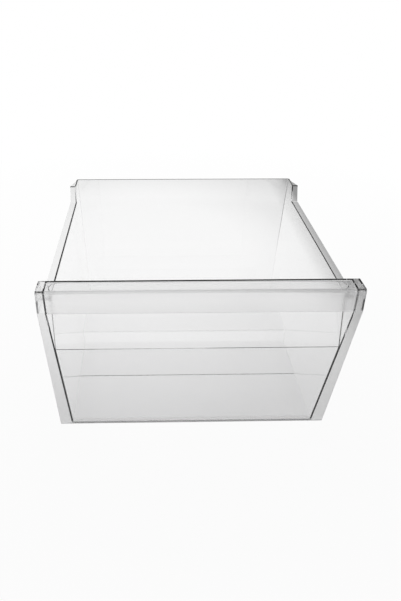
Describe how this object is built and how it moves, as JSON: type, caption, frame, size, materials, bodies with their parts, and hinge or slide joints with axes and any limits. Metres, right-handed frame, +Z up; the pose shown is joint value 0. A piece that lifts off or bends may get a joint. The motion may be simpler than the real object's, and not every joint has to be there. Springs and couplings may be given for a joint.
{
  "type": "fridge drawer",
  "caption": "Clear moulded fridge drawer, open at the top, with a frosted hanging lip over a full-width finger pocket, side rims with rear stops and a raised rear floor.",
  "frame": {"origin": "middle of the footprint, on the surface that the drawer stands on", "axes": "+X to the right as seen from the front, +Y from the front to the back, +Z up"},
  "size_m": [0.44, 0.402, 0.274],
  "materials": {
    "clear_plastic": "clear and polished, with the front of the lip frosted"
  },
  "bodies": {
    "root": {"drawer": "clear_plastic"}
  },
  "joints": []
}
